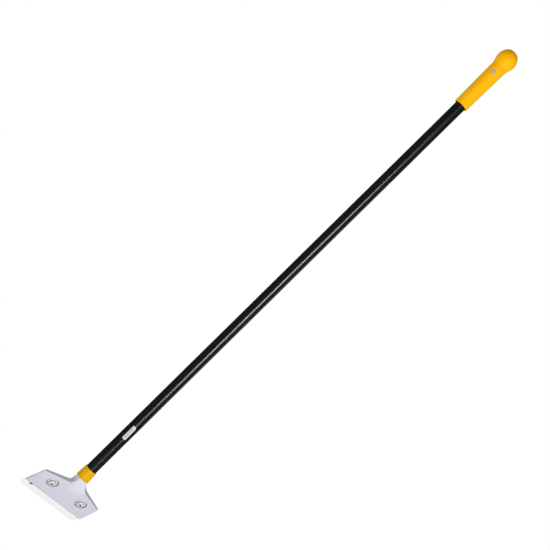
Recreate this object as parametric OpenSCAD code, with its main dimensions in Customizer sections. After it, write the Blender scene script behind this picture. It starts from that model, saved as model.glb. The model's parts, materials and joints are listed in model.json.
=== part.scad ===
// Long-handled floor scraper: a steel tube with a cast head at one end and a moulded grip at the
// other. The blade is held between the casting and a clamp plate by two screws. The tube stands
// along +Z, and the origin is on its axis at the top rim of the lower collar. The head has its own
// axes: +X along the cutting edge, +Y from the edge back to the neck, +Z out of the flat face.

/* [Handle] */
// Outer diameter of the tube
tube_d = 23; // [20:0.5:25]
// Wall of the tube
tube_wall = 1; // [0.8:0.1:1.5]
// Length of tube between the collar and the grip
tube_bare = 993; // [600:1:1200]
// Outer diameter of the collar at its lower rim
collar_d = 28; // [27:0.1:29]
// Outer diameter of the collar at its upper rim
collar_top_d = 25.8; // [25.4:0.1:27]
// Length of the collar
collar_len = 24; // [20:1:28]

/* [Grip] */
// Diameter at the open end of the grip
grip_mouth_d = 29.5; // [28.5:0.5:31]
// Diameter below the knob
grip_waist_d = 32.6; // [31:0.2:34]
// Length of the tapered part of the grip
grip_taper_len = 109.5; // [104:0.5:120]
// Diameter of the knob
knob_d = 41.2; // [40:0.1:43]
// Diameter of the flat on the end of the knob
knob_flat_d = 19.5; // [18:0.5:22]
// Height of the rivet above the open end of the grip
rivet_up = 88; // [80:1:94]
// Angle of the rivet around the tube
rivet_angle = -127; // [-180:1:180]

/* [Head] */
// Width of the head and of the blade
head_w = 150; // [130:1:160]
// Width of the head at its shoulders
shoulder_w = 147; // [140:1:150]
// Distance of the shoulders behind the front edge
side_len = 48; // [46:0.5:50]
// Depth of the head from its front edge to where the neck starts
head_depth = 63; // [61:0.5:65]
// Width of the head where the neck starts
root_w = 44; // [36:1:50]
// Radius of the two shoulders
shoulder_r = 3; // [2:0.5:8]
// Angle between the handle and the blade
bend = 31; // [28:1:34]
// Thickness of the casting over the blade
seat_t = 3.8; // [3.4:0.1:4.4]
// Thickness of the casting's back edge beside the neck
skirt_t = 9.5; // [7:0.5:11]
// Diameter of the neck below the collar
neck_d = 20.4; // [19:0.2:20.8]
// Distance from the front edge back to the centre of the neck's rim
neck_back = 69.07; // [68:0.01:71]
// Drop from the flat face to the centre of the neck's rim
neck_drop = 22.05; // [21:0.01:23]

/* [Blade] */
// Depth of the blade from edge to edge
blade_depth = 48; // [44:1:48]
// Thickness of the blade
blade_t = 1.2; // [0.8:0.1:1.5]
// How far the blade stands out of the casting
blade_out = 20; // [20:0.5:24]
// Diameter of the hole near each end of the blade
blade_hole_d = 8; // [5:0.5:9]
// Distance of the holes from the ends of the blade
blade_hole_in = 17.5; // [12:0.5:24]
// Distance of the holes from the nearer cutting edge
blade_hole_back = 16; // [12:0.5:20]
// Size of the clipped corners of the blade
blade_clip = 6; // [2:0.5:8]

/* [Clamp] */
// Thickness of the clamp plate
clamp_t = 4; // [3:0.5:5]
// Width of the clamp plate
clamp_w = 138; // [120:1:144]
// Distance between the two clamp screws
screw_pitch = 79; // [70:1:90]
// Distance of the screws behind the front edge of the casting
screw_back = 34; // [32:0.5:34]
// Depth of the round recess around each screw
recess_depth = 2.2; // [1.8:0.1:2.4]
// Diameter of the round recess around each screw
recess_d = 24; // [22:0.1:25]

/* [Label] */
// Length of the label along the tube
label_len = 32; // [20:1:40]
// Width of the label around the tube
label_w = 8.3; // [6:0.1:12]
// Height of the label above the collar
label_up = 85; // [60:1:120]
// Angle of the label around the tube
label_angle = -114; // [-180:1:180]

/* [Hidden] */
$fn = 96;
eps = 0.01;

// Tube and its two ends
tube_r = tube_d / 2;
bore_r = tube_r - tube_wall;
lip_t = 1.5;                       // bottom lip of the collar, which the tube stands on
slip = 0.05;                       // play between pieces that slide over each other
spigot_r = bore_r - slip;
spigot_len = 45;                   // how far the casting reaches up inside the tube
pin_d = 4;
pin_wall = 0.8;                    // wall of the tubular pin
pin_z = -13;                       // height of the cross pin through tube and spigot
pin_half = 11.2;                   // half the length of the pin, which ends inside the collar
tube_in_grip = 100;                // length of tube inside the grip
tube_bottom = -collar_len + lip_t;
tube_top = tube_bare + tube_in_grip;

// Grip: a taper, a fillet and a knob whose outline is one arc
grip_z = tube_bare;
mouth_r = grip_mouth_d / 2;
waist_r = grip_waist_d / 2;
knob_arc_r = 26;                   // radius of the knob's outline
knob_arc_in = knob_arc_r - knob_d / 2;
waist_fillet = 3;                  // fillet between the taper and the knob
// Height of the widest part of the knob, so that the fillet touches both taper and knob
fillet_reach = sqrt(pow(knob_arc_r + waist_fillet, 2) - pow(knob_arc_in + waist_r + waist_fillet, 2));
knob_z = grip_taper_len + fillet_reach;
flat_reach = sqrt(pow(knob_arc_r, 2) - pow(knob_flat_d / 2 + knob_arc_in, 2));
knob_top = knob_z + flat_reach;
fillet_touch = atan2(fillet_reach, knob_arc_in + waist_r + waist_fillet);
flat_touch = asin(flat_reach / knob_arc_r);
core_r = 7.5;                      // core hole in the knob, closed by the end cap
core_floor = grip_taper_len + 3;
cap_t = 1.6;
cap_r = core_r + 0.9;
plug_len = 9;                      // depth of the end cap's plug below the end of the knob

// Rivet through the grip and the wall of the tube
rivet_r = 2.4;
rivet_head_r = 4.7;
rivet_head_h = 1.3;
rivet_flat_r = 2.2;                // flat in the middle of the rivet's head
rivet_seat = 0.9;                  // depth of the spot face under the head
grip_r_at_rivet = mouth_r + (waist_r - mouth_r) * rivet_up / grip_taper_len;
rivet_face = grip_r_at_rivet - rivet_seat;
mandrel_r = 1.3;
bulb_r = 3.6;
bulb_face = sqrt(pow(bore_r, 2) - pow(bulb_r, 2)) - slip;  // outer end of the bulb, inside the bore
bulb_len = 2.2;

// Clamp screws: M6 with a pan head, a spring washer and a flat washer
thread_r = 3;
screw_len = 13;
pan_r = 6.8;
pan_h = 3.2;
dome_r = 9.5;                      // radius of the head's rounded top
flat_washer_r = 10;
flat_washer_t = 1.2;
spring_washer_r = 5.9;
spring_washer_t = 1;
hole_r = 3.3;
nut_across = 10;
nut_h = 5.2;
nut_sunk = 2.4;                    // depth of the nut's pocket in the clamp plate
washer_bottom = -recess_depth;
washer_top = washer_bottom + flat_washer_t;
head_bottom = washer_top + spring_washer_t;

// Levels below the flat face
blade_top = -seat_t;
clamp_top = -seat_t - blade_t - slip;
clamp_bottom = clamp_top - clamp_t;
blade_back = blade_depth - blade_out;
ledge = blade_back + 0.2;          // step in the casting behind the blade
clamp_back = 45;
clamp_front = -10;
skirt_front = clamp_back + 1.5;
heel_top = [skirt_front, -9];      // slanted front of the heel, in the head's Y and Z
heel_low = [58, -29.5];
root_front = 49;                   // start of the taper to the neck, in the head's Y
root_end = 11;                     // where the taper ends, below the collar
root_spread = 4;                   // how much wider the taper starts than root_w, on each side
below = 60;                        // any level under the whole head
neck_len = 37;                     // straight part of the neck under the collar

// Turns the head's axes into the handle's: the neck's rim is centred under the collar
module in_head() {
    translate([0, 0, -collar_len]) rotate([90 + bend, 0, 0]) translate([0, -neck_back, neck_drop])
        children();
}

// Turns the handle's axes into the head's, for what is cut in the head but set by the neck
module in_neck() {
    translate([0, neck_back, -neck_drop]) rotate([-90 - bend, 0, 0]) translate([0, 0, collar_len])
        children();
}

// A piece at each clamp screw, or at one of them: side is -1 on the left, 1 on the right
module at_screw(side) {
    translate([side * screw_pitch / 2, screw_back, 0]) children();
}

// A bar along X with an outline given in the head's Y and Z
module bar_x(width, outline) {
    translate([-width / 2, 0, 0]) rotate([90, 0, 90]) linear_extrude(width) polygon(outline);
}

// Points of an arc, by its centre, its radius and two angles
function arc(centre, radius, from, to, steps) = [
    for (i = [0 : steps])
        let (angle = from + (to - from) * i / steps)
        [centre[0] + radius * cos(angle), centre[1] + radius * sin(angle)]
];

// ---- Head ----

// Right half of the casting's outline, seen on its flat face: a straight side, a round shoulder and
// a back edge that slopes up to the neck
module half_outline() {
    front = [head_w / 2, 0];
    shoulder = [shoulder_w / 2, side_len];
    root = [root_w / 2, head_depth];
    side_turn = atan2((head_w - shoulder_w) / 2, side_len);
    back_turn = 90 - atan2(head_depth - side_len, (shoulder_w - root_w) / 2);
    reach = shoulder_r * tan((back_turn - side_turn) / 2);
    to_front = (front - shoulder) / norm(front - shoulder);
    centre = shoulder + to_front * reach - [cos(side_turn), sin(side_turn)] * shoulder_r;
    polygon(concat([[0, 0], front], arc(centre, shoulder_r, side_turn, back_turn, 6),
                   [root, [0, head_depth]]));
}

module head_outline() {
    half_outline();
    mirror([1, 0]) half_outline();
}

// The part of the casting between two distances from its front edge
module plate_slice(from, to, thickness) {
    translate([0, 0, -thickness]) linear_extrude(thickness) intersection() {
        head_outline();
        translate([-head_w, from]) square([2 * head_w, to - from]);
    }
}

// The back edge of the casting, which gets thicker from the shoulders to the neck
module skirt() {
    intersection() {
        plate_slice(skirt_front, head_depth, skirt_t);
        translate([0, head_w, 0]) rotate([90, 0, 0]) linear_extrude(2 * head_w) polygon([
            [-head_w / 2, 1], [head_w / 2, 1], [head_w / 2, clamp_top - slip],
            [root_w / 2, -skirt_t], [-root_w / 2, -skirt_t], [-head_w / 2, clamp_top - slip]
        ]);
    }
}

// The taper from the plate's back edge to the neck
module neck_root() {
    hull() {
        translate([-root_w / 2 - root_spread, root_front, -skirt_t])
            cube([root_w + 2 * root_spread, head_depth - 1.5 - root_front, skirt_t - 1]);
        in_neck() translate([0, 0, -collar_len - root_end])
            cylinder(r = neck_d / 2 - 1, h = 1, $fn = 32);
    }
}

module head_casting() {
    color("silver") {
        in_head() difference() {
            union() {
                plate_slice(0, ledge, seat_t);
                plate_slice(ledge, skirt_front, -clamp_top);
                skirt();
                neck_root();
                in_neck() translate([0, 0, -collar_len - neck_len]) cylinder(r = neck_d / 2, h = neck_len);
            }
            // Nothing stands above the flat face
            translate([-head_w, -head_w, 0]) cube([2 * head_w, 3 * head_w, below]);
            // The heel leaves room for the clamp plate
            bar_x(2 * root_w, [[-below, clamp_top], [skirt_front, clamp_top], heel_top, heel_low,
                               [root_front, -below], [-below, -below]]);
            for (side = [-1, 1]) at_screw(side) {
                translate([0, 0, -recess_depth]) cylinder(d = recess_d, h = recess_depth + 1);
                translate([0, 0, -below]) cylinder(r = hole_r, h = below);
            }
        }
        difference() {
            translate([0, 0, -collar_len - 1]) cylinder(r = spigot_r, h = spigot_len + 1);
            translate([-tube_d, 0, pin_z]) rotate([0, 90, 0]) cylinder(d = pin_d + 2 * slip, h = 2 * tube_d);
        }
    }
}

// A strip with a bevelled cutting edge front and back. Turned end for end it looks the same
module blade() {
    bevel = 3.5;
    edge_t = 0.15;
    front = -blade_out;
    color("gainsboro") in_head() difference() {
        bar_x(head_w, [
            [front, blade_top], [blade_back, blade_top],
            [blade_back, blade_top - edge_t], [blade_back - bevel, blade_top - blade_t],
            [front + bevel, blade_top - blade_t], [front, blade_top - edge_t]
        ]);
        translate([0, (front + blade_back) / 2, -below / 2]) for (turn = [0, 180]) rotate([0, 0, turn]) {
            translate([-head_w / 2 + blade_hole_in, blade_hole_back - blade_depth / 2, 0])
                cylinder(d = blade_hole_d, h = below);
            for (side = [-1, 1]) translate([side * head_w / 2, -blade_depth / 2, 0]) rotate([0, 0, 45])
                cube([blade_clip * sqrt(2), blade_clip * sqrt(2), 2 * below], center = true);
        }
    }
}

module clamp_plate() {
    chamfer = 1.2;
    color("darkgray") in_head() difference() {
        bar_x(clamp_w, [
            [clamp_front, clamp_top], [clamp_back, clamp_top],
            [clamp_back, clamp_bottom + chamfer], [clamp_back - chamfer, clamp_bottom],
            [clamp_front + 3 * chamfer, clamp_bottom], [clamp_front, clamp_top - chamfer]
        ]);
        for (side = [-1, 1]) at_screw(side) {
            translate([0, 0, -below]) cylinder(r = hole_r, h = below);
            translate([0, 0, clamp_bottom - 1]) hexagon(nut_across + 0.2, nut_sunk + 1);
        }
    }
}

// A hexagonal prism, by its width across flats
module hexagon(across, height) {
    cylinder(d = across / cos(30), h = height, $fn = 6);
}

// Pan head, plain shank and a cross recess
module clamp_screw(side) {
    cross_w = 1.5;
    cross_len = 6.2;
    color("white") in_head() at_screw(side) {
        translate([0, 0, head_bottom - screw_len]) cylinder(r = thread_r, h = screw_len + eps);
        translate([0, 0, head_bottom]) difference() {
            intersection() {
                cylinder(r = pan_r, h = pan_h);
                translate([0, 0, pan_h - dome_r]) sphere(r = dome_r);
            }
            for (turn = [45, 135]) rotate([0, 0, turn]) translate([-cross_len / 2, -cross_w / 2, pan_h - 2])
                cube([cross_len, cross_w, 4]);
        }
    }
}

module flat_washer(side) {
    color("lightgray") in_head() at_screw(side) translate([0, 0, washer_bottom]) difference() {
        cylinder(r = flat_washer_r, h = flat_washer_t);
        translate([0, 0, -1]) cylinder(r = hole_r - 0.1, h = flat_washer_t + 2);
    }
}

// Split ring, pressed flat under the head
module spring_washer(side) {
    color("gray") in_head() at_screw(side) translate([0, 0, washer_top]) difference() {
        cylinder(r = spring_washer_r, h = spring_washer_t);
        translate([0, 0, -1]) cylinder(r = hole_r - 0.15, h = spring_washer_t + 2);
        rotate([0, 0, 200]) translate([0, -0.5, -1]) cube([10, 1, spring_washer_t + 2]);
    }
}

module clamp_nut(side) {
    color("lightgray") in_head() at_screw(side) translate([0, 0, clamp_bottom + nut_sunk - nut_h])
        difference() {
            hexagon(nut_across, nut_h);
            translate([0, 0, -1]) cylinder(r = thread_r + slip, h = nut_h + 2);
        }
}

// ---- Handle ----

// Tapered sleeve over the foot of the tube, with a lip between tube and neck
module lower_collar() {
    edge = 0.8;
    color("gold") translate([0, 0, -collar_len]) rotate_extrude() polygon([
        [spigot_r + slip, 0], [collar_d / 2 - edge, 0], [collar_d / 2, edge],
        [collar_top_d / 2, collar_len - edge], [collar_top_d / 2 - edge, collar_len],
        [tube_r + slip, collar_len], [tube_r + slip, lip_t], [spigot_r + slip, lip_t]
    ]);
}

module neck_pin() {
    color("gray") translate([-pin_half, 0, pin_z]) rotate([0, 90, 0]) difference() {
        cylinder(d = pin_d, h = 2 * pin_half);
        translate([0, 0, -1]) cylinder(d = pin_d - 2 * pin_wall, h = 2 * pin_half + 2);
    }
}

module handle_tube() {
    color([0.06, 0.06, 0.07]) difference() {
        translate([0, 0, tube_bottom]) cylinder(r = tube_r, h = tube_top - tube_bottom);
        translate([0, 0, tube_bottom - 1]) cylinder(r = bore_r, h = tube_top - tube_bottom + 2);
        translate([-tube_d, 0, pin_z]) rotate([0, 90, 0]) cylinder(d = pin_d + 2 * slip, h = 2 * tube_d);
        rivet_axis() cylinder(r = rivet_r + slip, h = tube_d);
    }
}

// Plain sticker with one pointed end
module tube_label() {
    film = 0.12;
    point = 3;
    nick = 1;
    half = label_w / 2;
    color("whitesmoke") intersection() {
        translate([0, 0, label_up]) difference() {
            cylinder(r = tube_r + film, h = label_len);
            translate([0, 0, -1]) cylinder(r = tube_r, h = label_len + 2);
        }
        rotate([0, 0, label_angle]) rotate([90, 0, 90]) linear_extrude(2 * tube_d) polygon([
            [-half, label_up], [half, label_up], [half, label_up + label_len - point],
            [half - point, label_up + label_len], [-half + nick, label_up + label_len],
            [-half, label_up + label_len - nick]
        ]);
    }
}

// ---- Grip ----

module grip() {
    edge = 1;
    color([0.98, 0.74, 0.04]) difference() {
        translate([0, 0, grip_z]) rotate_extrude() polygon(concat(
            [[tube_r + slip, 0], [mouth_r - edge, 0], [mouth_r, edge]],
            arc([waist_r + waist_fillet, grip_taper_len], waist_fillet, 180, 180 - fillet_touch, 6),
            arc([-knob_arc_in, knob_z], knob_arc_r, -fillet_touch, flat_touch, 24),
            [[cap_r, knob_top], [cap_r, knob_top - cap_t], [core_r, knob_top - cap_t],
             [core_r, core_floor], [0, core_floor], [0, tube_in_grip], [tube_r + slip, tube_in_grip]]
        ));
        rivet_axis() {
            translate([0, 0, rivet_face]) cylinder(r = rivet_head_r + 0.4, h = 10);
            cylinder(r = rivet_r + slip, h = tube_d);
        }
    }
}

// Disc with a short plug, pressed into the core hole of the knob
module grip_end_cap() {
    color([0.98, 0.74, 0.04]) translate([0, 0, grip_z + knob_top]) rotate_extrude() polygon([
        [0, -plug_len], [core_r - 0.6, -plug_len], [core_r, -plug_len + 1], [core_r, -cap_t], [cap_r, -cap_t],
        [cap_r, -0.4], [cap_r - 0.4, 0], [0, 0]
    ]);
}

// Turns +Z into the rivet's axis, which starts on the axis of the tube
module rivet_axis() {
    translate([0, 0, grip_z + rivet_up]) rotate([0, 90, rivet_angle]) children();
}

// Blind rivet: a low dome, a hollow shank and the bulb that formed inside the tube
module grip_rivet() {
    inside = bulb_face - bulb_len;
    color("silver") rivet_axis() rotate_extrude() polygon(concat(
        [[mandrel_r, inside], [bulb_r - 0.6, inside], [bulb_r, inside + 0.8],
         [bulb_r, bulb_face], [rivet_r, bulb_face], [rivet_r, rivet_face],
         [rivet_head_r, rivet_face], [rivet_head_r, rivet_face + 0.3]],
        [for (i = [1 : 5]) [rivet_head_r - (rivet_head_r - rivet_flat_r) * i / 5,
                            rivet_face + 0.3 + (rivet_head_h - 0.3) * sin(90 * i / 5)]],
        [[mandrel_r, rivet_face + rivet_head_h]]
    ));
}

// Broken-off stem of the mandrel, held in the rivet by its own head
module rivet_mandrel() {
    inside = bulb_face - bulb_len;
    color("dimgray") rivet_axis() rotate_extrude() polygon([
        [0, inside - 1.6], [mandrel_r + 0.7, inside - 1.6], [mandrel_r + 1, inside],
        [mandrel_r, inside], [mandrel_r, rivet_face + 0.6], [0, rivet_face + 0.6]
    ]);
}

head_casting();
blade();
clamp_plate();
clamp_screw(-1);  // clamp_screw_left
clamp_screw(1);  // clamp_screw_right
spring_washer(-1);  // spring_washer_left
spring_washer(1);  // spring_washer_right
flat_washer(-1);  // flat_washer_left
flat_washer(1);  // flat_washer_right
clamp_nut(-1);  // clamp_nut_left
clamp_nut(1);  // clamp_nut_right
lower_collar();
neck_pin();
handle_tube();
tube_label();
grip();
grip_end_cap();
grip_rivet();
rivet_mandrel();
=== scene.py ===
import json
import math

import bmesh
import bpy
import numpy as np
from mathutils import Matrix, Vector

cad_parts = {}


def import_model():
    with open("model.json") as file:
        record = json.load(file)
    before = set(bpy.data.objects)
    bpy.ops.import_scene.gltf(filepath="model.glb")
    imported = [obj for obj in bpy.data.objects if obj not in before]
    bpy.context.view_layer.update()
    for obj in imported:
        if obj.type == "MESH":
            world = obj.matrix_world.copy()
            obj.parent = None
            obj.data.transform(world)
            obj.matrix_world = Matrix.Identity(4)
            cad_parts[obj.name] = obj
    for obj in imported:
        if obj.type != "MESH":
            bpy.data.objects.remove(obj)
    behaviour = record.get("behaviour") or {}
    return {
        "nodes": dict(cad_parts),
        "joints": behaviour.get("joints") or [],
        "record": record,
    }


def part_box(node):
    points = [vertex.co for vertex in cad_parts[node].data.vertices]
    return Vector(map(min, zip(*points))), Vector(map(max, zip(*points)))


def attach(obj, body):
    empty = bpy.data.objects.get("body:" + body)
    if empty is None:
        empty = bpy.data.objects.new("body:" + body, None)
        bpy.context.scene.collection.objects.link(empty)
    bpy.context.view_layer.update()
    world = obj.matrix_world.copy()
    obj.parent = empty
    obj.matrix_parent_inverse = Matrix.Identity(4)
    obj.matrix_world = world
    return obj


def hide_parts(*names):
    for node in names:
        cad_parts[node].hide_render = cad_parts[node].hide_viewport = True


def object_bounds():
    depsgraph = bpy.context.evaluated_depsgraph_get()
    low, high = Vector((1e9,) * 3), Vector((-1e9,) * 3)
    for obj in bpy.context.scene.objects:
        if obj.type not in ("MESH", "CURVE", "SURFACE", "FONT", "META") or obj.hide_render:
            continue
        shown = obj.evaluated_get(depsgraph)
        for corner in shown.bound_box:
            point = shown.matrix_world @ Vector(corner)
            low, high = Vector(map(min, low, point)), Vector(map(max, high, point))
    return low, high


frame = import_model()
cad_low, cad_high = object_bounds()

MM = 0.001
JOINTS = {j["name"]: j for j in frame["joints"]}
MOUNTS = {m["name"]: m for m in frame["record"]["mounts"]}

# The head's own axes: X along the cutting edge, Y from the edge back to the neck, Z out of the
# flat face. Its origin is in the middle of the casting's front edge, on the flat face.
TO_EDGE = Vector(JOINTS["blade_slide"]["axis"])
OUT_OF_FACE = -Vector(JOINTS["clamp_drop"]["axis"])
MOUNT_BACK = 20 * MM               # the face's mount, behind the casting's front edge
HEAD_ORIGIN = Vector(MOUNTS["head_face"]["pos_m"]) + TO_EDGE * MOUNT_BACK
HEAD = Matrix.Translation(HEAD_ORIGIN) @ Matrix(
    (Vector((1, 0, 0)), -TO_EDGE, OUT_OF_FACE)).transposed().to_4x4()
HEAD_TILT = math.atan2(-TO_EDGE.z, -TO_EDGE.y)   # turn about X from the row's axes to the head's

PLAY = 0.05 * MM                   # between pieces that fit one inside the other

# Tube, collar and grip
TUBE_R = 11.5 * MM
BORE_R = 10.5 * MM
COLLAR_R, COLLAR_TOP_R = 14 * MM, 12.9 * MM
GRIP_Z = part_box("grip")[0].z
GRIP_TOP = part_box("grip")[1].z
TUBE_LOW, TUBE_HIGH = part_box("handle_tube")[0].z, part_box("handle_tube")[1].z
COLLAR_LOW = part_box("lower_collar")[0].z
RIVET_Z = (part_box("grip_rivet")[0].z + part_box("grip_rivet")[1].z) / 2
RIVET_TURN = math.radians(-127)
LABEL_TURN = math.radians(-114)
GRIP_MOUTH, GRIP_WAIST, GRIP_LENGTH = 14.75 * MM, 16.3 * MM, 109.5 * MM
TUBE_IN_GRIP = 100 * MM
CORE_R, CAP_SEAT_R, CAP_T = 7.5 * MM, 8.5 * MM, 1.6 * MM
RIVET_SEAT = 0.9 * MM              # depth of the spot face under the rivet's head
BULB_R, BULB_LEN = 3.6 * MM, 2.2 * MM

# Head: widths, depths and levels in its own axes
HALF_W = 75 * MM
SHOULDER_HALF, SIDE_LEN = 73.5 * MM, 48 * MM
HEAD_DEPTH = 63 * MM
ROOT_HALF = 22 * MM
SHOULDER_R = 2.5 * MM
SEAT_T = 3.8 * MM
STEP_T = 5.05 * MM
SKIRT_T, SKIRT_END_T = 9.5 * MM, 5.1 * MM
LEDGE = 28.2 * MM
SKIRT_FRONT = 46.5 * MM
HEEL_TOP = 9 * MM                  # below the flat face
HEEL_DROP, HEEL_RUN = 20.5, 11.5   # slope of the heel
BEND = math.radians(31)
NECK_BACK, NECK_DROP = 69.07 * MM, 22.05 * MM
NECK_R = 10.2 * MM
PIN_BELOW = 13 * MM                # cross pin, below the collar's top rim
BLADE_TRAVEL = 28 * MM
SCREW_X = 39.5 * MM
SCREW_BACK = 34 * MM
RECESS_R, RECESS_DEPTH = 12 * MM, 2.2 * MM
PAN_R, DOME_R, PAN_H = 6.8 * MM, 9.5 * MM, 3.2 * MM
WASHER_R = 10 * MM
HOLE_R = 3.3 * MM
THREAD_R, PITCH, SCREW_LEN = 2.97 * MM, 1 * MM, 13 * MM
WASHER_BORE, WASHER_T = 3.2 * MM, 1.2 * MM
RING_IN, RING_OUT, RING_T = 3.15 * MM, 5.9 * MM, 1 * MM
CLAMP_T = 4 * MM
NUT_FLAT, NUT_H, NUT_SUNK = 5 * MM, 5.2 * MM, 2.4 * MM


# ---- Signed distances. Each takes arrays of points and gives metres, negative inside ----

def union(a, b, r=0.0):
    """Both bodies, with a fillet of radius r where they meet."""
    if r == 0.0:
        return np.minimum(a, b)
    corner = np.hypot(np.maximum(r - a, 0), np.maximum(r - b, 0))
    return np.maximum(r, np.minimum(a, b)) - corner


def common(a, b, r=0.0):
    """What two bodies share, with its new edge rounded to radius r."""
    return -union(-a, -b, r)


def less(a, b, r=0.0):
    """Body a without body b, with the edge of the cut rounded to radius r."""
    return common(a, -b, r)


def smooth_step(value, start, end):
    t = np.clip((value - start) / (end - start), 0, 1)
    return t * t * (3 - 2 * t)


def surface_net(distance, low, high, cell):
    """Points and quads of the surface where distance is zero, one point to each cell it crosses."""
    low = np.asarray(low, float)
    count = np.ceil((np.asarray(high, float) - low) / cell).astype(int) + 1
    axes = [low[i] + cell * np.arange(count[i]) for i in range(3)]
    value = np.empty(tuple(count))
    for i in range(0, count[0], 24):
        value[i:i + 24] = distance(*np.meshgrid(axes[0][i:i + 24], *axes[1:], indexing="ij"))
    inside = value < 0
    owners, crossings, quads = [], [], []
    for axis in range(3):
        first = inside.take(np.arange(count[axis] - 1), axis)
        second = inside.take(np.arange(1, count[axis]), axis)
        at = np.argwhere(first != second)
        to = at.copy()
        to[:, axis] += 1
        here, there = value[tuple(at.T)], value[tuple(to.T)]
        point = at.astype(float)
        point[:, axis] += here / (here - there)
        u, v = (axis + 1) % 3, (axis + 2) % 3
        ring = []
        for du, dv in ((0, 0), (-1, 0), (-1, -1), (0, -1)):
            cell_at = at.copy()
            cell_at[:, u] += du
            cell_at[:, v] += dv
            ring.append(np.ravel_multi_index(tuple(cell_at.T), tuple(count)))
        quad = np.stack(ring, 1)
        owners.append(quad.ravel())
        crossings.append(np.repeat(point, 4, axis=0))
        quads.append(np.where((here > 0)[:, None], quad[:, ::-1], quad))
    names, place = np.unique(np.concatenate(owners), return_inverse=True)
    crossings = np.concatenate(crossings)
    hits = np.bincount(place, minlength=len(names))
    points = np.stack([np.bincount(place, crossings[:, i], len(names)) for i in range(3)], 1)
    points = low + cell * points / hits[:, None]
    faces = np.searchsorted(names, np.concatenate(quads))
    return relax(distance, points, faces, cell), faces


def pull(distance, points, cell):
    """Moves points onto the surface, and gives its normal at each."""
    h = cell * 0.05
    slope = np.empty_like(points)
    for axis in range(3):
        up, down = points.copy(), points.copy()
        up[:, axis] += h
        down[:, axis] -= h
        slope[:, axis] = (distance(*up.T) - distance(*down.T)) / (2 * h)
    size = np.maximum((slope ** 2).sum(1), 0.05)
    step = (distance(*points.T) / size)[:, None] * slope
    reach = np.linalg.norm(step, axis=1)[:, None]
    step *= np.minimum(1, 0.5 * cell / np.maximum(reach, 1e-12))
    return points - step, slope / np.sqrt(size)[:, None]


def relax(distance, points, faces, cell, rounds=4):
    """Spreads the points evenly over the surface without leaving it."""
    pairs = np.concatenate([faces[:, [0, 1]], faces[:, [1, 2]], faces[:, [2, 3]], faces[:, [3, 0]]])
    pairs = np.concatenate([pairs, pairs[:, ::-1]])
    near = np.bincount(pairs[:, 0], minlength=len(points))
    for _ in range(rounds):
        points, normal = pull(distance, points, cell)
        mean = np.stack([np.bincount(pairs[:, 0], points[pairs[:, 1], i], len(points))
                         for i in range(3)], 1) / near[:, None]
        move = mean - points
        move -= (move * normal).sum(1)[:, None] * normal
        points = points + 0.6 * move
    for _ in range(3):
        points, normal = pull(distance, points, cell)
    return points


# ---- Meshes ----

def mesh_object(name, points, faces, place=None):
    """A mesh object in the row frame, from points that place moves there."""
    mesh = bpy.data.meshes.new(name)
    mesh.from_pydata([tuple(p) for p in points], [], [tuple(int(i) for i in f) for f in faces])
    if place is not None:
        mesh.transform(place)
    mesh.validate()
    mesh.polygons.foreach_set("use_smooth", [True] * len(mesh.polygons))
    piece = bpy.data.objects.new(name, mesh)
    bpy.context.scene.collection.objects.link(piece)
    return piece


def solid(name, distance, low, high, cell, place=None):
    """A mesh object of the body that a signed distance describes."""
    points, faces = surface_net(distance, low, high, cell)
    return mesh_object(name, points, faces, place)


def rounded(profile, radius, steps=4):
    """A closed outline of (r, z) points with its corners rounded, except those on the axis."""
    out = []
    count = len(profile)
    for i, point in enumerate(profile):
        here = Vector(point)
        to_last = Vector(profile[i - 1]) - here
        to_next = Vector(profile[(i + 1) % count]) - here
        reach = min(radius, to_last.length * 0.45, to_next.length * 0.45)
        if point[0] < 1e-9 or to_last.angle(to_next) > math.radians(175):
            out.append(tuple(here))
            continue
        start, end = here + to_last.normalized() * reach, here + to_next.normalized() * reach
        for k in range(steps + 1):
            t = k / steps
            out.append(tuple(start * (1 - t) ** 2 + here * 2 * t * (1 - t) + end * t ** 2))
    return out


def lathe(name, profile, place=None, turns=96):
    """A closed (r, z) outline, listed with the body on its left, turned about Z."""
    points, rings, faces = [], [], []
    for r, z in profile:
        if r < 1e-9:
            rings.append([len(points)] * turns)
            points.append((0, 0, z))
        else:
            first = len(points)
            rings.append(list(range(first, first + turns)))
            points += [(r * math.cos(a), r * math.sin(a), z)
                       for a in (math.tau * k / turns for k in range(turns))]
    for i, ring in enumerate(rings):
        after = rings[(i + 1) % len(rings)]
        if ring[0] == ring[1] and after[0] == after[1]:
            continue
        for k in range(turns):
            n = (k + 1) % turns
            face = dict.fromkeys((ring[k], ring[n], after[n], after[k]))
            faces.append(tuple(face))
    return mesh_object(name, points, faces, place)


def eased_copy(name, node, width):
    """A copy of a CAD node with whole flat faces, which are shaded flat, and eased edges."""
    sharp = math.radians(12)
    bm = bmesh.new()
    bm.from_mesh(frame["nodes"][node].data)
    bmesh.ops.remove_doubles(bm, verts=bm.verts, dist=1e-6)
    bmesh.ops.dissolve_limit(bm, angle_limit=math.radians(1.0), verts=bm.verts, edges=bm.edges)
    mesh = bpy.data.meshes.new(name)
    bm.to_mesh(mesh)
    bm.free()
    piece = bpy.data.objects.new(name, mesh)
    bpy.context.scene.collection.objects.link(piece)
    mesh.polygons.foreach_set("use_smooth", [False] * len(mesh.polygons))
    ease = piece.modifiers.new("ease", "BEVEL")
    ease.width, ease.segments = width, 2
    ease.limit_method, ease.angle_limit = "ANGLE", sharp
    return piece


def finished(piece, material, body, slot, *nodes):
    """Gives a piece its material, its body and the CAD nodes that it stands for."""
    piece.data.materials.clear()
    piece.data.materials.append(material)
    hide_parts(*nodes)
    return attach(piece, body)


# ---- Materials ----

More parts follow.
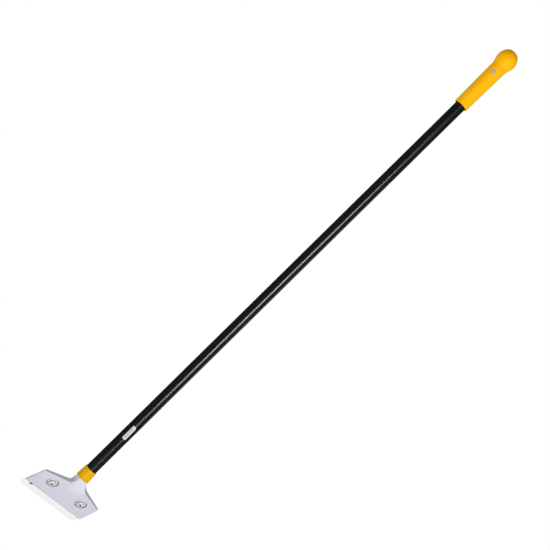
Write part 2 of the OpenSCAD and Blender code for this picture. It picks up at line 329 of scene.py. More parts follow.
def map_range(nodes, links, value, from_span, to_span):
    """Maps one span of a value to another, and holds it at the ends."""
    node = nodes.new("ShaderNodeMapRange")
    links.new(value, node.inputs["Value"])
    for end, start_number, end_number in (("Min", from_span[0], to_span[0]),
                                          ("Max", from_span[1], to_span[1])):
        node.inputs[f"From {end}"].default_value = start_number
        node.inputs[f"To {end}"].default_value = end_number
    return node.outputs["Result"]


class Finish:
    """A Principled material, with short calls for the nodes that give it its detail."""

    def __init__(self, name, colour, metallic=0.0, roughness=0.5, **sockets):
        self.material = bpy.data.materials.new(name)
        self.material.use_nodes = True
        self.nodes = self.material.node_tree.nodes
        self.links = self.material.node_tree.links
        self.bsdf = self.nodes["Principled BSDF"]
        self.colour, self.roughness = colour, roughness
        self.bsdf.inputs["Base Color"].default_value = (*colour, 1)
        self.bsdf.inputs["Metallic"].default_value = metallic
        self.bsdf.inputs["Roughness"].default_value = roughness
        for socket, value in sockets.items():
            self.bsdf.inputs[socket.replace("_", " ")].default_value = value
        self.point = self.nodes.new("ShaderNodeTexCoord").outputs["Object"]
        self.material.diffuse_color = (*colour, 1)

    def put(self, socket, value):
        if isinstance(value, bpy.types.NodeSocket):
            self.links.new(value, socket)
        else:
            socket.default_value = value

    def in_head(self, point=None):
        """The points in axes turned about X as the head's are."""
        node = self.nodes.new("ShaderNodeVectorRotate")
        node.rotation_type = "X_AXIS"
        node.inputs["Angle"].default_value = -HEAD_TILT
        self.links.new(point or self.point, node.inputs["Vector"])
        return node.outputs["Vector"]

    def from_screw(self):
        """Distances from the nearer screw's axis, from the front edge and out of the flat face."""
        node = self.nodes.new("ShaderNodeVectorMath")
        node.operation = "SUBTRACT"
        self.links.new(self.point, node.inputs[0])
        node.inputs[1].default_value = HEAD_ORIGIN
        parts = self.nodes.new("ShaderNodeSeparateXYZ")
        self.links.new(self.in_head(node.outputs[0]), parts.inputs[0])
        x, y, z = parts.outputs
        across = self.math("SUBTRACT", self.math("ABSOLUTE", x), SCREW_X)
        along = self.math("SUBTRACT", y, SCREW_BACK)
        square = self.math("ADD", self.math("MULTIPLY", across, across),
                           self.math("MULTIPLY", along, along))
        return self.math("SQRT", square), y, z

    def facing(self, direction):
        """How far the surface faces one way, from -1 to 1."""
        node = self.nodes.new("ShaderNodeVectorMath")
        node.operation = "DOT_PRODUCT"
        self.links.new(self.nodes.new("ShaderNodeTexCoord").outputs["Normal"], node.inputs[0])
        node.inputs[1].default_value = direction
        return node.outputs["Value"]

    def stretched(self, scale, point=None):
        node = self.nodes.new("ShaderNodeVectorMath")
        node.operation = "MULTIPLY"
        self.links.new(point or self.point, node.inputs[0])
        node.inputs[1].default_value = scale
        return node.outputs[0]

    def noise(self, scale, detail=4.0, rough=0.55, point=None, warp=0.0):
        node = self.nodes.new("ShaderNodeTexNoise")
        self.links.new(point or self.point, node.inputs["Vector"])
        node.inputs["Scale"].default_value = scale
        node.inputs["Detail"].default_value = detail
        node.inputs["Roughness"].default_value = rough
        node.inputs["Distortion"].default_value = warp
        return node.outputs["Fac"]

    def cells(self, scale):
        node = self.nodes.new("ShaderNodeTexVoronoi")
        self.links.new(self.point, node.inputs["Vector"])
        node.inputs["Scale"].default_value = scale
        return node.outputs["Distance"]

    def span(self, value, from_low, from_high, to_low, to_high):
        return map_range(self.nodes, self.links, value, (from_low, from_high), (to_low, to_high))

    def math(self, operation, a, b=0.0):
        node = self.nodes.new("ShaderNodeMath")
        node.operation = operation
        self.put(node.inputs[0], a)
        self.put(node.inputs[1], b)
        return node.outputs[0]

    def blend(self, factor, a, b):
        node = self.nodes.new("ShaderNodeMix")
        node.data_type = "RGBA"
        self.put(node.inputs["Factor"], factor)
        for socket, colour in ((node.inputs[6], a), (node.inputs[7], b)):
            self.put(socket, (*colour, 1) if isinstance(colour, tuple) else colour)
        return node.outputs[2]

    def tinted(self, factor, colour, base=None):
        """Blends the base colour towards another by a factor."""
        out = self.blend(factor, base or self.colour, colour)
        self.links.new(out, self.bsdf.inputs["Base Color"])
        return out

    def rough(self, value):
        self.links.new(value, self.bsdf.inputs["Roughness"])

    def bump(self, height, depth):
        """Adds relief of a depth in metres on top of what was added before."""
        node = self.nodes.new("ShaderNodeBump")
        node.inputs["Distance"].default_value = depth
        node.inputs["Strength"].default_value = 1.0
        self.links.new(height, node.inputs["Height"])
        normal = self.bsdf.inputs["Normal"]
        if normal.is_linked:
            self.links.new(normal.links[0].from_socket, node.inputs["Normal"])
        self.links.new(node.outputs["Normal"], normal)


def cast_aluminium():
    """Die-cast alloy under a fine silver lacquer: an even grain, faint flow marks, painted shade on
    the back walls and in the grooves round the screws, and a painted shadow along the front edge."""
    f = Finish("cast_aluminium", (0.594, 0.572, 0.664), metallic=0.12, roughness=0.52)
    flow = f.noise(22, 3, 0.5, f.stretched((1.0, 1.6, 1.6)), warp=0.8)
    grain = f.noise(2600, 2, 0.6)
    tone = f.tinted(f.span(flow, 0.35, 0.7, 0.0, 1.0), (0.562, 0.54, 0.631))
    specks = f.span(f.cells(900), 0.06, 0.14, 1.0, 0.0)
    tone = f.tinted(f.math("MULTIPLY", specks, 0.10), (0.42, 0.41, 0.45), tone)
    tone = f.tinted(f.span(grain, 0.4, 0.75, 0.0, 0.08), (0.80, 0.79, 0.84), tone)
    f.rough(f.span(f.noise(60, 4), 0.3, 0.7, 0.46, 0.60))
    # Painted shade: walls that face up and back, away from the low front light, are darkened.
    painted_back_shade = f.span(f.facing(-TO_EDGE), 0.6, 0.9, 0.0, 0.60)
    tone = f.tinted(painted_back_shade, (0.28, 0.275, 0.30), tone)
    off, back, out = f.from_screw()
    # Painted shade: the gap round each screw's recess, below the face, is darkened where shadow
    # falls.
    painted_groove_shade = f.math("MULTIPLY", f.span(off, RECESS_R - 0.2 * MM, RECESS_R + 0.1 * MM, 1.0, 0.0),
                    f.span(out, -0.6 * MM, -0.2 * MM, 1.0, 0.0))
    # Painted shadow: a dark line along the casting's front edge.
    rim = f.span(back, 0.9 * MM, 2.0 * MM, 0.6, 0.0)
    f.tinted(f.math("MAXIMUM", painted_groove_shade, rim), (0.10, 0.095, 0.11), tone)
    f.bump(grain, 0.012 * MM)
    f.bump(f.noise(420, 3), 0.015 * MM)
    return f.material


def blade_steel():
    """Ground strip steel: fine marks across the blade, and a light oil haze."""
    f = Finish("blade_steel", (0.86, 0.825, 0.835), metallic=0.15, roughness=0.36)
    head = f.in_head()
    marks = f.noise(1.0, 3, 0.6, f.stretched((3800, 60, 200), head))
    haze = f.noise(38, 4, 0.6, f.stretched((1.0, 2.0, 1.0), head), warp=1.2)
    tone = f.tinted(f.span(marks, 0.35, 0.7, 0.0, 0.12), (0.80, 0.78, 0.79))
    f.tinted(f.span(haze, 0.45, 0.75, 0.0, 0.4), (0.90, 0.85, 0.86), tone)
    f.rough(f.math("ADD", f.span(haze, 0.3, 0.8, 0.30, 0.44), f.span(marks, 0.3, 0.7, 0.0, 0.06)))
    return f.material


def black_steel():
    """Pressed strip with a black oxide coat, rubbed in places."""
    f = Finish("black_steel", (0.042, 0.043, 0.048), metallic=0.45, roughness=0.42)
    rub = f.noise(190, 6, 0.65, warp=0.3)
    f.tinted(f.span(rub, 0.5, 0.75, 0.0, 0.4), (0.12, 0.115, 0.11))
    f.rough(f.span(f.noise(300, 4), 0.3, 0.7, 0.36, 0.55))
    f.bump(f.noise(1800, 3), 0.02 * MM)
    return f.material


def plated_steel():
    """Bright zinc over turned steel, with painted shade round the screw's head and in its cross."""
    f = Finish("plated_steel", (0.80, 0.80, 0.79), metallic=0.4, roughness=0.36)
    cloud = f.noise(260, 4, 0.6, warp=0.5)
    tone = f.tinted(f.span(cloud, 0.35, 0.7, 0.0, 0.4), (0.72, 0.72, 0.73))
    tone = f.tinted(f.span(f.noise(1500, 2), 0.6, 0.75, 0.0, 0.2), (0.50, 0.49, 0.48), tone)
    off, back, out = f.from_screw()
    # Painted shade: a dark ring on the washer round the foot of the pan head, where its shadow
    # falls.
    under = f.math("MULTIPLY", f.span(off, PAN_R + 0.3 * MM, PAN_R + 0.8 * MM, 1.0, 0.0),
                   f.span(out, 0.5 * MM, 1.2 * MM, 1.0, 0.0))
    # Painted shade inside the cross recess.
    cross = f.math("MULTIPLY", f.span(off, 3.7 * MM, 4.0 * MM, 1.0, 0.0),
                   f.span(out, 2.3 * MM, 2.8 * MM, 1.0, 0.0))
    painted_head_shade = f.math("MAXIMUM", f.math("MULTIPLY", under, 0.6), f.math("MULTIPLY", cross, 0.95))
    f.tinted(painted_head_shade, (0.03, 0.03, 0.033), tone)
    f.rough(f.span(cloud, 0.3, 0.75, 0.30, 0.42))
    f.bump(f.noise(3000, 2), 0.004 * MM)
    return f.material


def spring_steel():
    """Duller, darker zinc on the hardened spring washers."""
    f = Finish("spring_steel", (0.30, 0.30, 0.32), metallic=0.9, roughness=0.45)
    cloud = f.noise(420, 4, 0.6)
    f.tinted(f.span(cloud, 0.35, 0.7, 0.0, 0.6), (0.20, 0.20, 0.22))
    f.rough(f.span(cloud, 0.3, 0.7, 0.38, 0.55))
    f.bump(f.noise(2400, 2), 0.01 * MM)
    return f.material


def rivet_metal():
    """Satin aluminium, dulled by handling."""
    f = Finish("rivet_metal", (0.50, 0.40, 0.34), metallic=0.25, roughness=0.5)
    cloud = f.noise(500, 4, 0.6)
    f.tinted(f.span(cloud, 0.35, 0.7, 0.0, 0.6), (0.42, 0.34, 0.30))
    f.rough(f.span(cloud, 0.3, 0.7, 0.42, 0.58))
    f.bump(f.noise(2400, 2), 0.01 * MM)
    return f.material


def yellow_plastic(name, colour):
    """Moulded plastic: a fine spark-eroded skin, faint flow marks and a few rubbed spots."""
    f = Finish(name, colour, roughness=0.33, Specular_IOR_Level=0.11)
    red, green, blue = colour
    flow = f.noise(26, 4, 0.55, f.stretched((1.0, 1.0, 0.35)), warp=0.7)
    skin = f.noise(3200, 2, 0.5)
    tone = f.tinted(f.span(flow, 0.35, 0.72, 0.0, 0.35), (0.96 * red, 0.93 * green, blue))
    f.tinted(f.span(skin, 0.55, 0.8, 0.0, 0.05), (0.95, 0.52, 0.02), tone)
    f.rough(f.span(f.noise(55, 5, 0.6), 0.35, 0.7, 0.32, 0.42))
    f.bump(skin, 0.002 * MM)
    f.bump(f.noise(240, 2), 0.004 * MM)
    return f.material


def black_paint():
    """Stoved black paint on a drawn tube: slight orange peel, hairlines and dust in the gloss."""
    f = Finish("black_paint", (0.0042, 0.0042, 0.0052), roughness=0.23, Specular_IOR_Level=0.8)
    peel = f.noise(900, 2, 0.5)
    hair = f.noise(1.0, 4, 0.6, f.stretched((900, 900, 8)))
    dust = f.span(f.cells(1300), 0.03, 0.09, 1.0, 0.0)
    tone = f.tinted(f.span(f.noise(14, 4), 0.4, 0.7, 0.0, 0.6), (0.005, 0.005, 0.0065))
    f.tinted(f.math("MULTIPLY", dust, 0.012), (0.16, 0.16, 0.17), tone)
    base = f.span(f.noise(30, 5, 0.6, f.stretched((1, 1, 0.3))), 0.3, 0.7, 0.24, 0.29)
    f.rough(f.math("ADD", base, f.span(hair, 0.62, 0.8, 0.0, 0.05)))
    f.bump(peel, 0.0007 * MM)
    f.bump(hair, 0.0004 * MM)
    return f.material


def white_label():
    """Plain film with rows of short grey marks in place of print."""
    f = Finish("white_label", (0.47, 0.47, 0.505), roughness=0.42)
    uv = f.nodes.new("ShaderNodeTexCoord").outputs["UV"]
    parts = f.nodes.new("ShaderNodeSeparateXYZ")
    f.links.new(uv, parts.inputs[0])
    across, along = parts.outputs["X"], parts.outputs["Y"]
    in_band = f.math("LESS_THAN", f.math("ABSOLUTE", f.math("SUBTRACT", across, 0.5)), 0.27)
    in_length = f.math("LESS_THAN", f.math("ABSOLUTE", f.math("SUBTRACT", along, 0.44)), 0.36)
    row = f.math("FRACT", f.math("MULTIPLY", across, 5.5))
    rows = f.math("LESS_THAN", f.math("ABSOLUTE", f.math("SUBTRACT", row, 0.5)), 0.27)
    words = f.noise(1.0, 1, 0.5, f.stretched((5.5, 26, 1), uv))
    marks = f.math("MULTIPLY", f.math("GREATER_THAN", words, 0.44), rows)
    marks = f.math("MULTIPLY", f.math("MULTIPLY", in_band, in_length), marks)
    f.tinted(f.math("MULTIPLY", marks, 0.8), (0.10, 0.10, 0.12))
    f.rough(f.span(f.noise(400, 3), 0.3, 0.7, 0.36, 0.48))
    f.bump(f.noise(1500, 2), 0.003 * MM)
    return f.material


# ---- Head ----

def face_level(x, y):
    """Height of the visible face: flat, then bending down into the neck."""
    start, soft = 52.3 * MM, 8 * MM
    full_half, flat_half = 8 * MM, 24 * MM
    reach = y - start
    bent = np.where(reach > soft, reach, np.maximum(reach + soft, 0) ** 2 / (4 * soft))
    near = 1 - smooth_step(np.abs(x), full_half, flat_half)
    return -math.tan(BEND) * bent * near


def plate_outline(x, y):
    """Distance in the plane from the outline of the plate and of the tongue that meets the neck."""
    x = np.abs(x)
    rise, run = HEAD_DEPTH - SIDE_LEN, SHOULDER_HALF - ROOT_HALF
    back = ((x - SHOULDER_HALF) * rise + (y - SIDE_LEN) * run) / math.hypot(rise, run)
    lean = HALF_W - SHOULDER_HALF
    side = ((x - HALF_W) * SIDE_LEN + y * lean) / math.hypot(SIDE_LEN, lean)
    plate = common(side, back, SHOULDER_R)
    plate = common(plate, -y, 0.6 * MM)
    tongue_half, tongue_middle, tongue_reach, corner_r = 7 * MM, 60 * MM, 20 * MM, 14 * MM
    tongue = common(x - tongue_half, np.abs(y - tongue_middle) - tongue_reach)
    return union(plate, tongue, corner_r)


def back_depth(x):
    """Depth of the casting's back edge: thicker towards the neck, with a web that runs into it."""
    web, web_half, web_taper = 16 * MM, 27 * MM, 17 * MM
    deep = SKIRT_END_T + (SKIRT_T - SKIRT_END_T) * np.clip(
        (HALF_W - np.abs(x)) / (HALF_W - ROOT_HALF), 0, 1)
    return deep + web * np.clip((web_half - np.abs(x)) / web_taper, 0, 1.1) ** 2


def casting_distance(x, y, z):
    """The head casting: a stepped plate, a round neck that leaves it at an angle, and a spigot."""
    outline = plate_outline(x, y)
    plate = common(outline, -z - SEAT_T, 0.3 * MM)
    plate = union(plate, common(common(outline, -z - STEP_T, 0.3 * MM), LEDGE - y, 0.3 * MM))
    slope = math.hypot(HEEL_DROP, HEEL_RUN)
    heel = ((SKIRT_FRONT - y) * HEEL_DROP + (-HEEL_TOP - z) * HEEL_RUN) / slope
    skirt = common(common(outline, (-z - back_depth(x)) * 0.75, 0.8 * MM), SKIRT_FRONT - y, 0.3 * MM)
    plate = union(plate, common(skirt, heel, 1 * MM))
    inside_neck = 74 * MM
    plate = common(plate, y - inside_neck)
    cos, sin = math.cos(BEND), math.sin(BEND)
    up = (y - NECK_BACK) * cos - (z + NECK_DROP) * sin
    off = (y - NECK_BACK) * sin + (z + NECK_DROP) * cos
    radius = np.hypot(x, off)
    neck = common(radius - NECK_R, up)
    neck = common(common(neck, heel, 2.5 * MM), SKIRT_FRONT - y, 0.5 * MM)
    body = union(plate, neck, 6 * MM)
    body = common(body, up, 0.3 * MM)
    clamp_room = common(y - SKIRT_FRONT, z + STEP_T)
    body = less(body, clamp_room, 0.4 * MM)
    blade_room = common(y - LEDGE, z + SEAT_T)
    body = less(body, blade_room, 0.2 * MM)
    body = common(body, z - face_level(x, y), 1.0 * MM)
    screw = np.hypot(np.abs(x) - SCREW_X, y - SCREW_BACK)
    body = less(body, common(screw - RECESS_R, -z - RECESS_DEPTH, 0.25 * MM), 0.35 * MM)
    body = less(body, screw - HOLE_R, 0.2 * MM)
    spigot_len, pin_hole_r = 45 * MM, 2.05 * MM
    spigot = common(common(radius - BORE_R + PLAY, up - spigot_len, 0.8 * MM), -up - 1 * MM)
    spigot = less(spigot, np.hypot(up + COLLAR_LOW + PIN_BELOW, off) - pin_hole_r)
    return union(body, spigot)


def head_casting():
    return solid("head_casting_cast", casting_distance, (-75.8 * MM, -1 * MM, -54 * MM),
                 (75.8 * MM, 112 * MM, 1 * MM), 0.62 * MM, HEAD)


def at_screw(side):
    """Where a clamp screw stands: on the flat face's level, on the screw's axis."""
    return HEAD @ Matrix.Translation((side * SCREW_X, SCREW_BACK, 0))


def screw_distance(x, y, z):
    """Pan head with a cross recess, over a shank with an M6 thread."""
    radius = np.hypot(x, y)
    head = common(radius - PAN_R, -z, 0.15 * MM)
    dome = np.sqrt(radius ** 2 + (z + DOME_R - PAN_H) ** 2) - DOME_R
    head = common(head, dome, 0.3 * MM)
    turn = math.cos(math.pi / 4)
    u, v = (x + y) * turn, (y - x) * turn
    deep = PAN_H - z
    arm_reach, arm_half, cross_depth = 3.5 * MM, 0.9 * MM, 2 * MM
    arms = [common(np.abs(a) - arm_reach + 0.55 * deep, np.abs(b) - arm_half + 0.12 * deep)
            for a, b in ((u, v), (v, u))]
    cross = common(union(*arms, 0.35 * MM), deep - cross_depth)
    head = less(head, cross, 0.18 * MM)
    tooth_h, point_h = 0.45 * MM, 0.6 * MM
    phase = z / PITCH - np.arctan2(y, x) / math.tau
    tooth = np.abs(phase - np.floor(phase) - 0.5) * 2
    thread = (radius - THREAD_R + tooth_h - tooth_h * tooth) * 0.75
    shank = common(thread, common(z - 0.5 * MM, -z - SCREW_LEN))
    shank = common(shank, radius - THREAD_R - (z + SCREW_LEN - point_h) * 0.7)
    return union(head, shank, 0.3 * MM)


def clamp_screw(side, name):
    return solid(name, screw_distance, (-7.2 * MM, -7.2 * MM, -13.6 * MM),
                 (7.2 * MM, 7.2 * MM, 3.8 * MM), 0.2 * MM, at_screw(side))


def nut_distance(x, y, z):
    """Hexagon nut, chamfered on both faces, with its middle at z 0."""
    cos, sin = math.cos(math.pi / 6), math.sin(math.pi / 6)
    bore_r, mouth_r = 3.05 * MM, 3.6 * MM
    face = np.abs(z) - NUT_H / 2
    flats = np.maximum(np.abs(y), np.abs(x) * cos + np.abs(y) * sin) - NUT_FLAT
    body = common(flats, face, 0.15 * MM)
    radius = np.hypot(x, y)
    body = common(body, (radius - NUT_FLAT) * sin + face * cos, 0.1 * MM)
    bore = np.minimum(radius - bore_r, (radius - mouth_r - face) * 0.7)
    return less(body, bore, 0.05 * MM)


def clamp_nut(side, name):
    middle = -STEP_T - CLAMP_T + NUT_SUNK - NUT_H / 2
    place = at_screw(side) @ Matrix.Translation((0, 0, middle))
    return solid(name, nut_distance, (-6.2 * MM, -5.6 * MM, -3 * MM),
                 (6.2 * MM, 5.6 * MM, 3 * MM), 0.24 * MM, place)


def split_ring_distance(x, y, z):
    """Spring washer pressed flat, with its slanted split."""
    radius = np.hypot(x, y)
    rise = z - RING_T / 2
    across = np.abs(radius - (RING_OUT + RING_IN) / 2) - (RING_OUT - RING_IN) / 2
    ring = common(across, np.abs(rise) - RING_T / 2, 0.18 * MM)
    turn, split_half, slant = math.radians(200), 0.45 * MM, 0.35
    along = x * math.cos(turn) + y * math.sin(turn)
    over = -x * math.sin(turn) + y * math.cos(turn)
    split = common(np.abs(over + rise * slant) - split_half, -along)
    return less(ring, split, 0.1 * MM)


def spring_washer(side, name):
    place = at_screw(side) @ Matrix.Translation((0, 0, WASHER_T - RECESS_DEPTH))
    return solid(name, split_ring_distance, (-6.3 * MM, -6.3 * MM, -0.4 * MM),
                 (6.3 * MM, 6.3 * MM, 1.4 * MM), 0.2 * MM, place)


def flat_washer(side, name):
    low, high = -RECESS_DEPTH, WASHER_T - RECESS_DEPTH
    outline = [(WASHER_BORE, low), (WASHER_R, low), (WASHER_R, high), (WASHER_BORE, high)]
    return lathe(name, rounded(outline, 0.28 * MM), at_screw(side))


# ---- Handle ----

def lower_collar():
    """Moulded, tapered sleeve over the foot of the tube, with a lip inside and softened rims."""
    low = COLLAR_LOW
    inner, lip = TUBE_R + PLAY, 1.5 * MM
    outline = [(BORE_R, low), (COLLAR_R, low), (COLLAR_TOP_R, 0), (inner, 0),
               (inner, low + lip), (BORE_R, low + lip)]
    return lathe("lower_collar_sleeve", rounded(outline, 0.8 * MM))


def handle_tube():
    """The whole tube, open at both ends, which stand inside the collar and the grip."""
    outline = [(BORE_R, TUBE_LOW), (TUBE_R, TUBE_LOW)]
    steps = 40
    outline += [(TUBE_R, TUBE_LOW + (TUBE_HIGH - TUBE_LOW) * i / steps) for i in range(1, steps)]
    outline += [(TUBE_R, TUBE_HIGH), (BORE_R, TUBE_HIGH)]
    return lathe("handle_tube_drawn", rounded(outline, 0.3 * MM, 3), turns=128)


def grip_distance(x, y, z):
    """Grip: a taper, a knob whose outline is one arc, the bore, the core hole and a spot face."""
    radius = np.hypot(x, y)
    mouth, waist, length = GRIP_MOUTH, GRIP_WAIST, GRIP_LENGTH
    slope = (waist - mouth) / length
    taper = (radius - mouth - slope * z) / math.hypot(1, slope)
    inside_knob = 125 * MM
    taper = common(taper, z - inside_knob)
    arc_r, arc_in, flat_r = 26 * MM, 5.4 * MM, 9.75 * MM
    top = GRIP_TOP - GRIP_Z
    knob_z = top - math.sqrt(arc_r ** 2 - (flat_r + arc_in) ** 2)
    knob = np.hypot(radius + arc_in, z - knob_z) - arc_r
    body = union(taper, knob, 3 * MM)
    body = common(body, z - top, 1.2 * MM)
    body = common(body, -z, 1 * MM)
    body = less(body, common(radius - TUBE_R - PLAY, z - TUBE_IN_GRIP), 0.4 * MM)
    core_floor, spot_r, rivet_hole_r = length + 3 * MM, 5.1 * MM, 2.45 * MM
    body = less(body, common(radius - CORE_R, core_floor - z))
    body = less(body, common(radius - CAP_SEAT_R, top - CAP_T - z), 0.15 * MM)
    rise = RIVET_Z - GRIP_Z
    out = x * math.cos(RIVET_TURN) + y * math.sin(RIVET_TURN)
    over = -x * math.sin(RIVET_TURN) + y * math.cos(RIVET_TURN)
    seat = mouth + slope * rise - RIVET_SEAT
    spot = np.hypot(over, z - rise)
    body = less(body, common(spot - spot_r, seat - out, 0.3 * MM), 0.35 * MM)
    return less(body, common(spot - rivet_hole_r, -out))


def grip():
    return solid("grip_moulded", grip_distance, (-21.8 * MM, -21.8 * MM, -1 * MM),
                 (21.8 * MM, 21.8 * MM, GRIP_TOP - GRIP_Z + 1 * MM), 0.72 * MM,
                 Matrix.Translation((0, 0, GRIP_Z)))


def grip_end_cap():
    """Disc with a short plug, its middle a hair higher than its rim."""
    plug_r, rim_r, plug_len, flat_r = CORE_R - PLAY, 8.35 * MM, 9 * MM, 3 * MM
    crown = 0.05 * MM
    outline = [(0, -plug_len), (plug_r, -plug_len), (plug_r, -CAP_T), (rim_r, -CAP_T),
               (rim_r, -crown), (flat_r, 0), (0, 0)]
    return lathe("grip_end_cap_disc", rounded(outline, 0.45 * MM),
                 Matrix.Translation((0, 0, GRIP_TOP)))


def rivet_place():
    """Turns +Z into the rivet's axis, starting on the tube's axis."""
    turn = Matrix.Rotation(RIVET_TURN, 4, "Z") @ Matrix.Rotation(math.pi / 2, 4, "Y")
    return Matrix.Translation((0, 0, RIVET_Z)) @ turn


def rivet_levels():
    """Distances from the tube's axis: the seat of the rivet's head, and both faces of its bulb."""
    slope = (GRIP_WAIST - GRIP_MOUTH) / GRIP_LENGTH
    seat = GRIP_MOUTH + slope * (RIVET_Z - GRIP_Z) - RIVET_SEAT
    bulb = math.sqrt(BORE_R ** 2 - BULB_R ** 2) - PLAY
    return seat, bulb, bulb - BULB_LEN


def grip_rivet():
    """Blind rivet: a low dome with a hollow middle, a shank and the bulb inside the tube."""
    seat, bulb, inside = rivet_levels()
    head_r, shank_r, bore_r, edge, dome_h = 4.7 * MM, 2.4 * MM, 1.35 * MM, 0.3 * MM, 1 * MM
    dome_in, steps = 2.7 * MM, 8
    dome = [(head_r - dome_in * i / steps, seat + edge + dome_h * math.sin(math.pi / 2 * i / steps))
            for i in range(steps + 1)]
    outline = [(bore_r, inside), (3.2 * MM, inside), (BULB_R, inside + 0.8 * MM),
               (BULB_R, bulb), (shank_r, bulb), (shank_r, seat), (head_r, seat)]
    outline += dome + [(1.9 * MM, seat + 1.2 * MM), (bore_r, seat + 0.9 * MM)]
    return lathe("grip_rivet_dome", rounded(outline, 0.12 * MM, 2), rivet_place(), 64)


def rivet_mandrel():
    """Broken-off stem, a little below the rim of the rivet's hollow."""
    seat, _, inside = rivet_levels()
    stem_r, head_r, head_h = 1.3 * MM, 2.2 * MM, 1.6 * MM
    tip = seat + 0.5 * MM          # broken face, a shallow ridge round a small hollow
    outline = [(0, inside - head_h), (head_r - 0.2 * MM, inside - head_h),
               (head_r, inside - PLAY), (stem_r, inside), (stem_r, tip + 0.05 * MM),
               (0.7 * MM, tip + 0.12 * MM), (0, tip)]
    return lathe("rivet_mandrel_stem", rounded(outline, 0.15 * MM, 2), rivet_place(), 48)


def neck_pin():
    """Tubular cross pin, hidden under the collar."""
    place = Matrix.Translation((0, 0, -PIN_BELOW)) @ Matrix.Rotation(math.pi / 2, 4, "Y")
    inner, outer, half = 1.2 * MM, 2 * MM, 11.2 * MM
    outline = [(inner, -half), (outer, -half), (outer, half), (inner, half)]
    return lathe("neck_pin_tube", rounded(outline, 0.3 * MM, 3), place, 48)


def tube_label():
    """Film sticker bent round the tube, with one pointed end."""
    low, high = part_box("tube_label")[0].z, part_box("tube_label")[1].z
    length, half, point, nick, corner_r = high - low, 4.15 * MM, 3 * MM, 1 * MM, 0.8 * MM
    rows = [0, 0.15 * MM, 0.4 * MM, corner_r] + [
        corner_r + (length - corner_r) * i / 40 for i in range(1, 41)]
    columns, points, uvs, faces = 16, [], [], []
    for up in rows:
        corner = corner_r - math.sqrt(max(0.0, corner_r ** 2 - max(0.0, corner_r - up) ** 2))
        right = half - corner - max(0.0, up - (length - point))
        left = -half + corner + max(0.0, up - (length - nick))
        for i in range(columns + 1):
            over = left + (right - left) * i / columns
            turn = LABEL_TURN + over / TUBE_R
            r = TUBE_R + 0.12 * MM
            points.append((r * math.cos(turn), r * math.sin(turn), low + up))
            uvs.append((over / (2 * half) + 0.5, up / length))
    for j in range(len(rows) - 1):
        for i in range(columns):
            a = j * (columns + 1) + i
            faces.append((a, a + 1, a + columns + 2, a + columns + 1))
    piece = mesh_object("tube_label_film", points, faces)
    layer = piece.data.uv_layers.new(name="film")
    for loop in piece.data.loops:
        layer.data[loop.index].uv = uvs[loop.vertex_index]
    film = piece.modifiers.new("film", "SOLIDIFY")
    film.thickness, film.offset = 0.11 * MM, -1
    return piece


def build():
    """Every piece with its material, its body and the CAD nodes that it replaces."""
    alloy, steel, oxide = cast_aluminium(), blade_steel(), black_steel()
    zinc, satin = plated_steel(), rivet_metal()
    plastic = yellow_plastic("yellow_plastic", (0.80, 0.387, 0.001))
    deep_plastic = yellow_plastic("deep_yellow_plastic", (0.60, 0.315, 0.001))
    paint, film, dull_zinc = black_paint(), white_label(), spring_steel()
    finished(head_casting(), alloy, "handle", "cast_aluminium", "head_casting")
    finished(eased_copy("blade_strip", "blade", 0.06 * MM), steel, "blade", "blade_steel", "blade")
    finished(eased_copy("clamp_plate_strip", "clamp_plate", 0.35 * MM), oxide, "clamp",
             "black_steel", "clamp_plate")
    for side, word in ((-1, "left"), (1, "right")):
        finished(clamp_screw(side, f"clamp_screw_{word}_pan"), zinc, f"screw_{word}",
                 "plated_steel", f"clamp_screw_{word}")
        finished(spring_washer(side, f"spring_washer_{word}_ring"), dull_zinc, "handle",
                 "plated_steel", f"spring_washer_{word}")
        finished(flat_washer(side, f"flat_washer_{word}_ring"), zinc, "handle",
                 "plated_steel", f"flat_washer_{word}")
        finished(clamp_nut(side, f"clamp_nut_{word}_hex"), zinc, "clamp",
                 "plated_steel", f"clamp_nut_{word}")
    finished(lower_collar(), deep_plastic, "handle", "yellow_plastic", "lower_collar")
    finished(neck_pin(), zinc, "handle", "plated_steel", "neck_pin")
    finished(handle_tube(), paint, "handle", "black_paint", "handle_tube")
    finished(tube_label(), film, "handle", "white_label", "tube_label")
    finished(grip(), plastic, "handle", "yellow_plastic", "grip")
    finished(grip_end_cap(), plastic, "handle", "yellow_plastic", "grip_end_cap")
    finished(grip_rivet(), satin, "handle", "rivet_metal", "grip_rivet")
    finished(rivet_mandrel(), zinc, "handle", "plated_steel", "rivet_mandrel")


# ---- Studio ----

def camera():
    """Looks at the tool from its flat-face side, rolled so that the handle runs to the top right."""
    place = (-1.1899, -1.8413, 0.4239)
    right = Vector((0.57765, -0.39877, 0.71225))
    up = Vector((-0.61619, 0.35926, 0.70089))
    back = right.cross(up).normalized()
    up = back.cross(right.normalized())
    turn = Matrix((right.normalized(), up, back)).transposed().to_4x4()
    data = bpy.data.cameras.new("camera")
    data.sensor_width, data.lens = 36, 74.956
    data.clip_start, data.clip_end = 0.05, 50
    item = bpy.data.objects.new("camera", data)
    bpy.context.scene.collection.objects.link(item)
    item.matrix_world = Matrix.Translation(place) @ turn
    bpy.context.scene.camera = item


def softbox(name, place, target, width, height, power, in_gloss=True):
    """A rectangular light. Without in_gloss it lights surfaces but isn't mirrored in them."""
    data = bpy.data.lights.new(name, "AREA")
    data.shape, data.size, data.size_y = "RECTANGLE", width, height
    data.energy = power
    item = bpy.data.objects.new(name, data)
    bpy.context.scene.collection.objects.link(item)
    item.visible_camera = False
    item.visible_glossy = in_gloss
    item.location = place
    item.rotation_euler = (Vector(target) - Vector(place)).to_track_quat("-Z", "Y").to_euler()


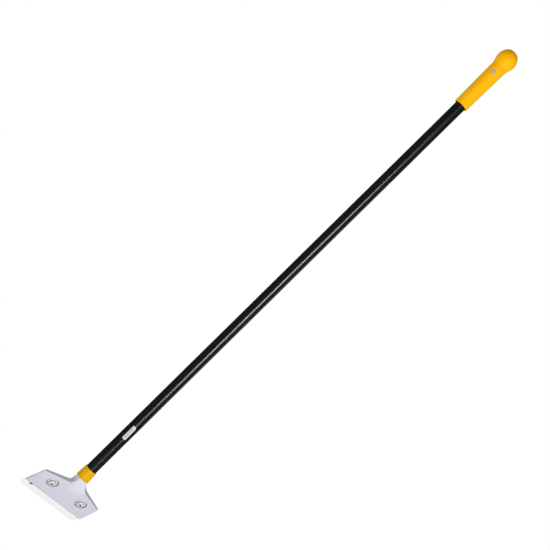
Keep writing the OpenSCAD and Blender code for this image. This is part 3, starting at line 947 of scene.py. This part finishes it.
def by_ray(nodes, links, for_camera, for_gloss, for_rest):
    """Three shaders in one: what the camera sees, what gloss mirrors, and what lights the rest."""
    path = nodes.new("ShaderNodeLightPath")
    inner, outer = nodes.new("ShaderNodeMixShader"), nodes.new("ShaderNodeMixShader")
    links.new(path.outputs["Is Glossy Ray"], inner.inputs[0])
    links.new(for_rest.outputs[0], inner.inputs[1])
    links.new(for_gloss.outputs[0], inner.inputs[2])
    links.new(path.outputs["Is Camera Ray"], outer.inputs[0])
    links.new(inner.outputs[0], outer.inputs[1])
    links.new(for_camera.outputs[0], outer.inputs[2])
    return outer.outputs[0]


def world():
    """White behind the tool, soft room light that fades overhead, and dark flags in the gloss."""
    item = bpy.data.worlds.new("studio")
    bpy.context.scene.world = item
    item.cycles.sampling_method = "NONE"
    item.use_nodes = True
    nodes, links = item.node_tree.nodes, item.node_tree.links
    nodes.clear()
    shades = []
    for level in (1.0, 0.05, 1.0):
        shade = nodes.new("ShaderNodeBackground")
        shade.inputs["Color"].default_value = (level, level, level, 1)
        shades.append(shade)
    parts = nodes.new("ShaderNodeSeparateXYZ")
    links.new(nodes.new("ShaderNodeTexCoord").outputs["Generated"], parts.inputs[0])
    dusk = map_range(nodes, links, parts.outputs["Z"], (0.0, 0.6), (0.6, 0.06))
    links.new(dusk, shades[2].inputs["Strength"])
    out = nodes.new("ShaderNodeOutputWorld")
    links.new(by_ray(nodes, links, *shades), out.inputs[0])


def floor():
    """Pale floor, clear of the edge of a blade slid right out. The camera sees it white, and gloss
    mirrors it only near the head."""
    half, level = 6.0, cad_low.z + TO_EDGE.z * BLADE_TRAVEL - 0.5 * MM
    item = mesh_object("floor", [(-half, -half, level), (half, -half, level),
                                 (half, half, level), (-half, half, level)], [(0, 1, 2, 3)])
    paper = bpy.data.materials.new("floor_paper")
    paper.use_nodes = True
    nodes, links = paper.node_tree.nodes, paper.node_tree.links
    nodes.clear()
    pale, glow = nodes.new("ShaderNodeEmission"), nodes.new("ShaderNodeEmission")
    pale.inputs["Strength"].default_value = 0.40
    pool, far = nodes.new("ShaderNodeEmission"), nodes.new("ShaderNodeVectorMath")
    far.operation = "LENGTH"
    links.new(nodes.new("ShaderNodeTexCoord").outputs["Object"], far.inputs[0])
    fade = map_range(nodes, links, far.outputs["Value"], (0.25, 0.6), (0.5, 0.05))
    links.new(fade, pool.inputs["Strength"])
    out = nodes.new("ShaderNodeOutputMaterial")
    links.new(by_ray(nodes, links, glow, pool, pale), out.inputs[0])
    paper.cycles.emission_sampling = "NONE"
    item.data.materials.append(paper)


def lights():
    """Low soft light in front, a narrow strip for the tube, a panel at each side, a fill behind."""
    softbox("key", (0.30, -2.3, 0.3), (0, 0, 0.3), width=2.4, height=0.7, power=44, in_gloss=False)
    softbox("strip", (-0.45, -2.4, 0.50), (0, 0, 0.50), width=0.25, height=1.24, power=27)
    softbox("right", (2.2, 0.3, 0.5), (0, 0, 0.5), width=1.4, height=1.3, power=5)
    softbox("back", (-1.3, 2.1, 0.7), (0, 0, 0.6), width=1.6, height=1.1, power=32, in_gloss=False)
    softbox("left", (-2.2, -0.3, 0.1), (0, 0, 0), width=1.2, height=1.0, power=17, in_gloss=False)


build()
camera()
world()
floor()
lights()
bpy.context.scene.view_settings.view_transform = "Standard"
